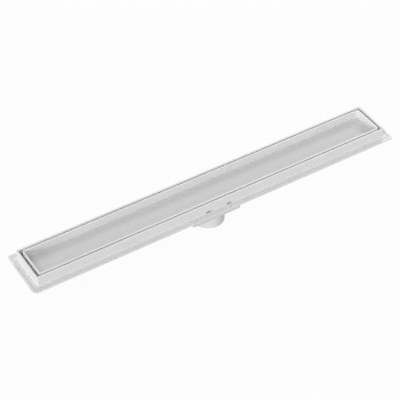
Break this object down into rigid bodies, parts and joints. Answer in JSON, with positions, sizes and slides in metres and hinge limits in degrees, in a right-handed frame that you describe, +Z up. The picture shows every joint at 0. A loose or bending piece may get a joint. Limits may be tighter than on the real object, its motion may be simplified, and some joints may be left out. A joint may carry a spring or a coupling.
{
  "type": "linear shower drain",
  "caption": "Long white shower drain with a tile-insert tray in a flanged channel, a water slot all round, a trapped sump and a round outlet socket below.",
  "frame": {"origin": "centre of the outlet spout's lower end, which is the bottom of the part", "axes": "+X along the channel, +Y across it, +Z up out of the tile tray"},
  "size_m": [0.7342, 0.1008, 0.073],
  "materials": {
    "body_plastic": "white moulded plastic, satin",
    "tray_plastic": "white moulded plastic, satin",
    "trap_plastic": "light grey moulded plastic, satin",
    "seal_rubber": "black rubber, matt"
  },
  "bodies": {
    "root": {"channel_body": "body_plastic", "tile_tray": "tray_plastic", "hair_strainer": "trap_plastic", "trap_bell": "trap_plastic", "trap_standpipe": "trap_plastic", "standpipe_seal": "seal_rubber"}
  },
  "joints": []
}
